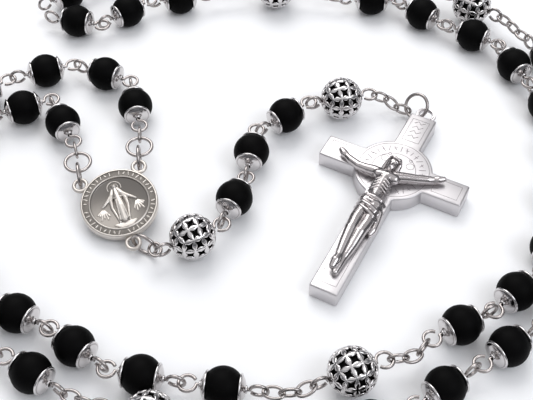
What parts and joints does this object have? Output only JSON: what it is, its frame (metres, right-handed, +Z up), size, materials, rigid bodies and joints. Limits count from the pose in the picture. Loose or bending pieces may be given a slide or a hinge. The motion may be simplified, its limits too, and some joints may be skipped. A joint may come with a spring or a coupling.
{
  "type": "rosary",
  "caption": "Five-decade rosary laid out flat: black beads with domed caps on eye pins, openwork silver balls, round centre medal and a crucifix.",
  "frame": {"origin": "middle of the laid-out rosary, on the table it lies on", "axes": "+Z up from the table, +Y away from the viewer towards the open ends of the loop, +X to the right, along the longer side of the loop"},
  "size_m": [0.1644, 0.1466, 0.0102],
  "materials": {
    "black_bead": "satin",
    "polished_steel": "polished",
    "chain_steel": "polished",
    "antique_silver": "antiqued",
    "satin_steel": "satin"
  },
  "bodies": {
    "medal": {"centre_medal": "antique_silver"},
    "medal_jump_ring": {"medal_jump_ring": "chain_steel"},
    "medal_link": {"medal_link": "chain_steel"},
    "our_father_a_pin": {"our_father_a_pin": "chain_steel"},
    "our_father_a_ball": {"our_father_a_cage": "polished_steel", "our_father_a_core": "black_bead"},
    "hail_mary_a_pin": {"hail_mary_a_pin": "chain_steel"},
    "hail_mary_a_bead_and_caps": {"hail_mary_a_bead": "black_bead", "hail_mary_a_cap_1": "polished_steel", "hail_mary_a_cap_2": "polished_steel"},
    "hail_mary_b_pin": {"hail_mary_b_pin": "chain_steel"},
    "hail_mary_b_bead_and_caps": {"hail_mary_b_bead": "black_bead", "hail_mary_b_cap_1": "polished_steel", "hail_mary_b_cap_2": "polished_steel"},
    "hail_mary_c_pin": {"hail_mary_c_pin": "chain_steel"},
    "hail_mary_c_bead_and_caps": {"hail_mary_c_bead": "black_bead", "hail_mary_c_cap_1": "polished_steel", "hail_mary_c_cap_2": "polished_steel"},
    "our_father_b_pin": {"our_father_b_pin": "chain_steel"},
    "our_father_b_ball": {"our_father_b_cage": "polished_steel", "our_father_b_core": "black_bead"},
    "crucifix_link_1": {"crucifix_link_1": "chain_steel"},
    "crucifix_link_2": {"crucifix_link_2": "chain_steel"},
    "crucifix_link_3": {"crucifix_link_3": "chain_steel"},
    "crucifix_jump_ring": {"crucifix_jump_ring": "chain_steel"},
    "crucifix": {"cross_body": "satin_steel", "corpus": "polished_steel"},
    "inner_ear_links": {"inner_ear_links": "chain_steel"},
    "decade_1_inner_beads_1": {"decade_1_inner_beads_1": "black_bead"},
    "decade_1_inner_beads_2": {"decade_1_inner_beads_2": "black_bead"},
    "decade_1_inner_beads_3": {"decade_1_inner_beads_3": "black_bead"},
    "decade_1_inner_beads_4": {"decade_1_inner_beads_4": "black_bead"},
    "decade_1_inner_beads_5": {"decade_1_inner_beads_5": "black_bead"},
    "our_father_inner_1_with_links": {"our_father_inner_1_with_links": "chain_steel"},
    "decade_2_inner_beads_1": {"decade_2_inner_beads_1": "black_bead"},
    "decade_2_inner_beads_2": {"decade_2_inner_beads_2": "black_bead"},
    "decade_2_inner_beads_3": {"decade_2_inner_beads_3": "black_bead"},
    "decade_2_inner_beads_4": {"decade_2_inner_beads_4": "black_bead"},
    "decade_2_inner_beads_5": {"decade_2_inner_beads_5": "black_bead"},
    "our_father_inner_2_with_links": {"our_father_inner_2_with_links": "chain_steel"},
    "decade_3_inner_beads_1": {"decade_3_inner_beads_1": "black_bead"},
    "decade_3_inner_beads_2": {"decade_3_inner_beads_2": "black_bead"},
    "outer_ear_links": {"outer_ear_links": "chain_steel"},
    "decade_5_outer_beads_1": {"decade_5_outer_beads_1": "black_bead"},
    "decade_5_outer_beads_2": {"decade_5_outer_beads_2": "black_bead"},
    "decade_5_outer_beads_3": {"decade_5_outer_beads_3": "black_bead"},
    "decade_5_outer_beads_4": {"decade_5_outer_beads_4": "black_bead"},
    "decade_5_outer_beads_5": {"decade_5_outer_beads_5": "black_bead"},
    "our_father_outer_1_with_links": {"our_father_outer_1_with_links": "chain_steel"},
    "decade_4_outer_beads_1": {"decade_4_outer_beads_1": "black_bead"},
    "decade_4_outer_beads_2": {"decade_4_outer_beads_2": "black_bead"},
    "decade_4_outer_beads_3": {"decade_4_outer_beads_3": "black_bead"},
    "decade_4_outer_beads_4": {"decade_4_outer_beads_4": "black_bead"},
    "decade_4_outer_beads_5": {"decade_4_outer_beads_5": "black_bead"},
    "our_father_outer_2_with_links": {"our_father_outer_2_with_links": "chain_steel"},
    "decade_3_outer_beads_1": {"decade_3_outer_beads_1": "black_bead"},
    "decade_3_outer_beads_2": {"decade_3_outer_beads_2": "black_bead"},
    "decade_3_outer_beads_3": {"decade_3_outer_beads_3": "black_bead"},
    "decade_3_outer_beads_4": {"decade_3_outer_beads_4": "black_bead"}
  },
  "joints": [
    {"name": "medal_jump_ring_lift", "type": "hinge", "parent": "medal", "child": "medal_jump_ring", "pos_m": [-0.02441, -0.02513, 0.00193], "axis": [-0.4531, -0.8915, 0], "range_deg": [-35, 35]},
    {"name": "medal_link_lift", "type": "hinge", "parent": "medal_jump_ring", "child": "medal_link", "pos_m": [-0.02101, -0.02609, 0.00399], "axis": [0.9878, 0.1557, 0], "range_deg": [-20, 20]},
    {"name": "our_father_a_lift", "type": "hinge", "parent": "medal_link", "child": "our_father_a_pin", "pos_m": [-0.0204, -0.02999, 0.00466], "axis": [0.4579, -0.889, 0], "range_deg": [-20, 20]},
    {"name": "our_father_a_spin", "type": "hinge", "parent": "our_father_a_pin", "child": "our_father_a_ball", "pos_m": [-0.01304, -0.02521, 0.00491], "axis": [0.888, 0.4574, 0.0478], "continuous": true},
    {"name": "hail_mary_a_lift", "type": "hinge", "parent": "our_father_a_pin", "child": "hail_mary_a_pin", "pos_m": [-0.00554, -0.02134, 0.00531], "axis": [-0.9312, 0.3646, 0], "range_deg": [-35, 35]},
    {"name": "hail_mary_a_spin", "type": "hinge", "parent": "hail_mary_a_pin", "child": "hail_mary_a_bead_and_caps", "pos_m": [-0.00461, -0.0146, 0.00466], "axis": [0.3639, 0.9293, -0.0636], "continuous": true},
    {"name": "hail_mary_b_lift", "type": "hinge", "parent": "hail_mary_a_pin", "child": "hail_mary_b_pin", "pos_m": [-0.00154, -0.00674, 0.00412], "axis": [0.9866, -0.1629, 0], "range_deg": [-35, 35]},
    {"name": "hail_mary_b_spin", "type": "hinge", "parent": "hail_mary_b_pin", "child": "hail_mary_b_bead_and_caps", "pos_m": [-0.00104, -0.00065, 0.00429], "axis": [0.1629, 0.9866, 0.0019], "continuous": true},
    {"name": "hail_mary_c_lift", "type": "hinge", "parent": "hail_mary_b_pin", "child": "hail_mary_c_pin", "pos_m": [0.00034, 0.00768, 0.0043], "axis": [-0.5905, 0.8071, 0], "range_deg": [-35, 35]},
    {"name": "hail_mary_c_spin", "type": "hinge", "parent": "hail_mary_c_pin", "child": "hail_mary_c_bead_and_caps", "pos_m": [0.00675, 0.01028, 0.00469], "axis": [0.8062, 0.5898, 0.0463], "continuous": true},
    {"name": "our_father_b_lift", "type": "hinge", "parent": "hail_mary_c_pin", "child": "our_father_b_pin", "pos_m": [0.01357, 0.01526, 0.00508], "axis": [0.203, -0.9792, 0], "range_deg": [-35, 35]},
    {"name": "our_father_b_spin", "type": "hinge", "parent": "our_father_b_pin", "child": "our_father_b_ball", "pos_m": [0.01989, 0.01555, 0.00499], "axis": [0.9792, 0.203, 0.0019], "continuous": true},
    {"name": "crucifix_link_1_lift", "type": "hinge", "parent": "our_father_b_pin", "child": "crucifix_link_1", "pos_m": [0.02816, 0.01727, 0.005], "axis": [0.1688, 0.9856, 0], "range_deg": [-35, 35]},
    {"name": "crucifix_link_2_lift", "type": "hinge", "parent": "crucifix_link_1", "child": "crucifix_link_2", "pos_m": [0.0303, 0.01693, 0.00404], "axis": [-0.6004, -0.7997, 0], "range_deg": [-35, 35]},
    {"name": "crucifix_link_3_lift", "type": "hinge", "parent": "crucifix_link_2", "child": "crucifix_link_3", "pos_m": [0.0332, 0.01476, 0.00236], "axis": [0.2284, 0.9736, 0], "range_deg": [-35, 35]},
    {"name": "crucifix_jump_ring_swing", "type": "hinge", "parent": "crucifix_link_3", "child": "crucifix_jump_ring", "pos_m": [0.0353, 0.0146, 0.00194], "axis": [-0.2284, -0.9736, 0], "range_deg": [-25, 25]},
    {"name": "crucifix_lift", "type": "hinge", "parent": "crucifix_jump_ring", "child": "crucifix", "pos_m": [0.03907, 0.01209, 0.0032], "axis": [-0.887, 0.4617, 0], "range_deg": [-10, 60]},
    {"name": "inner_ear_links_lift", "type": "hinge", "parent": "medal", "child": "inner_ear_links", "pos_m": [-0.03843, -0.00971, 0.00492], "axis": [0.9794, 0.2017, 0], "range_deg": [-28, 28]},
    {"name": "decade_1_inner_beads_1_lift", "type": "hinge", "parent": "inner_ear_links", "child": "decade_1_inner_beads_1", "pos_m": [-0.04068, 0.00115, 0.00408], "axis": [-0.8846, -0.4663, 0], "range_deg": [-28, 28]},
    {"name": "decade_1_inner_beads_2_lift", "type": "hinge", "parent": "decade_1_inner_beads_1", "child": "decade_1_inner_beads_2", "pos_m": [-0.06116, 0.01236, 0.00405], "axis": [-0.8886, 0.4586, 0], "range_deg": [-28, 28]},
    {"name": "decade_1_inner_beads_3_lift", "type": "hinge", "parent": "decade_1_inner_beads_2", "child": "decade_1_inner_beads_3", "pos_m": [-0.06978, -0.01499, 0.00405], "axis": [0.8864, 0.463, 0], "range_deg": [-28, 28]},
    {"name": "decade_1_inner_beads_4_lift", "type": "hinge", "parent": "decade_1_inner_beads_3", "child": "decade_1_inner_beads_4", "pos_m": [-0.05433, -0.03953, 0.00405], "axis": [-0.4647, -0.8854, 0], "range_deg": [-28, 28]},
    {"name": "decade_1_inner_beads_5_lift", "type": "hinge", "parent": "decade_1_inner_beads_4", "child": "decade_1_inner_beads_5", "pos_m": [-0.02956, -0.05566, 0.00405], "axis": [0.1913, 0.9815, 0], "range_deg": [-28, 28]},
    {"name": "our_father_inner_1_with_links_lift", "type": "hinge", "parent": "decade_1_inner_beads_5", "child": "our_father_inner_1_with_links", "pos_m": [0.00171, -0.0606, 0.004], "axis": [-0.2026, -0.9793, 0], "range_deg": [-28, 28]},
    {"name": "decade_2_inner_beads_1_lift", "type": "hinge", "parent": "our_father_inner_1_with_links", "child": "decade_2_inner_beads_1", "pos_m": [0.03281, -0.05009, 0.00407], "axis": [-0.4602, 0.8878, 0], "range_deg": [-28, 28]},
    {"name": "decade_2_inner_beads_2_lift", "type": "hinge", "parent": "decade_2_inner_beads_1", "child": "decade_2_inner_beads_2", "pos_m": [0.05774, -0.03497, 0.00405], "axis": [0.9222, -0.3867, 0], "range_deg": [-28, 28]},
    {"name": "decade_2_inner_beads_3_lift", "type": "hinge", "parent": "decade_2_inner_beads_2", "child": "decade_2_inner_beads_3", "pos_m": [0.06851, -0.00801, 0.00405], "axis": [-0.9975, 0.0707, 0], "range_deg": [-28, 28]},
    {"name": "decade_2_inner_beads_4_lift", "type": "hinge", "parent": "decade_2_inner_beads_3", "child": "decade_2_inner_beads_4", "pos_m": [0.06583, 0.02028, 0.00405], "axis": [0.9187, 0.395, 0], "range_deg": [-28, 28]},
    {"name": "decade_2_inner_beads_5_lift", "type": "hinge", "parent": "decade_2_inner_beads_4", "child": "decade_2_inner_beads_5", "pos_m": [0.04864, 0.04178, 0.00405], "axis": [-0.6386, -0.7695, 0], "range_deg": [-28, 28]},
    {"name": "our_father_inner_2_with_links_lift", "type": "hinge", "parent": "decade_2_inner_beads_5", "child": "our_father_inner_2_with_links", "pos_m": [0.02212, 0.05343, 0.004], "axis": [0.0988, 0.9951, 0], "range_deg": [-28, 28]},
    {"name": "decade_3_inner_beads_1_lift", "type": "hinge", "parent": "our_father_inner_2_with_links", "child": "decade_3_inner_beads_1", "pos_m": [-0.01171, 0.05476, 0.00404], "axis": [0.1617, -0.9868, 0], "range_deg": [-28, 28]},
    {"name": "decade_3_inner_beads_2_lift", "type": "hinge", "parent": "decade_3_inner_beads_1", "child": "decade_3_inner_beads_2", "pos_m": [-0.03752, 0.04246, 0.00405], "axis": [0.229, 0.9734, 0], "range_deg": [-28, 28]},
    {"name": "outer_ear_links_lift", "type": "hinge", "parent": "medal", "child": "outer_ear_links", "pos_m": [-0.02584, -0.005, 0.00584], "axis": [-0.9959, -0.0908, 0], "range_deg": [-28, 28]},
    {"name": "decade_5_outer_beads_1_lift", "type": "hinge", "parent": "outer_ear_links", "child": "decade_5_outer_beads_1", "pos_m": [-0.02653, 0.00589, 0.00409], "axis": [0.9756, 0.2194, 0], "range_deg": [-28, 28]},
    {"name": "decade_5_outer_beads_2_lift", "type": "hinge", "parent": "decade_5_outer_beads_1", "child": "decade_5_outer_beads_2", "pos_m": [-0.043, 0.02862, 0.00405], "axis": [0.3085, -0.9512, 0], "range_deg": [-28, 28]},
    {"name": "decade_5_outer_beads_3_lift", "type": "hinge", "parent": "decade_5_outer_beads_2", "child": "decade_5_outer_beads_3", "pos_m": [-0.07096, 0.01417, 0.00405], "axis": [-0.9051, 0.4252, 0], "range_deg": [-28, 28]},
    {"name": "decade_5_outer_beads_4_lift", "type": "hinge", "parent": "decade_5_outer_beads_3", "child": "decade_5_outer_beads_4", "pos_m": [-0.07865, -0.01616, 0.00405], "axis": [0.9211, 0.3894, 0], "range_deg": [-28, 28]},
    {"name": "decade_5_outer_beads_5_lift", "type": "hinge", "parent": "decade_5_outer_beads_4", "child": "decade_5_outer_beads_5", "pos_m": [-0.06171, -0.04254, 0.00405], "axis": [-0.608, -0.7939, 0], "range_deg": [-28, 28]},
    {"name": "our_father_outer_1_with_links_lift", "type": "hinge", "parent": "decade_5_outer_beads_5", "child": "our_father_outer_1_with_links", "pos_m": [-0.03567, -0.06091, 0.00402], "axis": [0.4438, 0.8961, 0], "range_deg": [-10, 28]},
    {"name": "decade_4_outer_beads_1_lift", "type": "hinge", "parent": "our_father_outer_1_with_links", "child": "decade_4_outer_beads_1", "pos_m": [-0.00252, -0.06916, 0.0042], "axis": [-0.0126, -0.9999, 0], "range_deg": [-28, 28]},
    {"name": "decade_4_outer_beads_2_lift", "type": "hinge", "parent": "decade_4_outer_beads_1", "child": "decade_4_outer_beads_2", "pos_m": [0.02852, -0.06441, 0.00405], "axis": [-0.5423, 0.8402, 0], "range_deg": [-28, 28]},
    {"name": "decade_4_outer_beads_3_lift", "type": "hinge", "parent": "decade_4_outer_beads_2", "child": "decade_4_outer_beads_3", "pos_m": [0.05473, -0.04714, 0.00405], "axis": [0.577, -0.8167, 0], "range_deg": [-28, 28]},
    {"name": "decade_4_outer_beads_4_lift", "type": "hinge", "parent": "decade_4_outer_beads_3", "child": "decade_4_outer_beads_4", "pos_m": [0.07453, -0.02375, 0.00405], "axis": [-0.9796, 0.2009, 0], "range_deg": [-28, 28]},
    {"name": "decade_4_outer_beads_5_lift", "type": "hinge", "parent": "decade_4_outer_beads_4", "child": "decade_4_outer_beads_5", "pos_m": [0.07875, 0.00775, 0.00405], "axis": [0.9741, 0.2263, 0], "range_deg": [-28, 28]},
    {"name": "our_father_outer_2_with_links_lift", "type": "hinge", "parent": "decade_4_outer_beads_5", "child": "our_father_outer_2_with_links", "pos_m": [0.06732, 0.03713, 0.00401], "axis": [-0.8237, -0.5671, 0], "range_deg": [-28, 28]},
    {"name": "decade_3_outer_beads_1_lift", "type": "hinge", "parent": "our_father_outer_2_with_links", "child": "decade_3_outer_beads_1", "pos_m": [0.04087, 0.05838, 0.00414], "axis": [0.4079, 0.913, 0], "range_deg": [-28, 28]},
    {"name": "decade_3_outer_beads_2_lift", "type": "hinge", "parent": "decade_3_outer_beads_1", "child": "decade_3_outer_beads_2", "pos_m": [0.01219, 0.06849, 0.00405], "axis": [-0.0665, -0.9978, 0], "range_deg": [-28, 28]},
    {"name": "decade_3_outer_beads_3_lift", "type": "hinge", "parent": "decade_3_outer_beads_2", "child": "decade_3_outer_beads_3", "pos_m": [-0.01671, 0.06887, 0.00405], "axis": [-0.0277, 0.9996, 0], "range_deg": [-28, 28]},
    {"name": "decade_3_outer_beads_4_lift", "type": "hinge", "parent": "decade_3_outer_beads_3", "child": "decade_3_outer_beads_4", "pos_m": [-0.04244, 0.06017, 0.00405], "axis": [0.5848, -0.8112, 0], "range_deg": [-28, 28]}
  ]
}
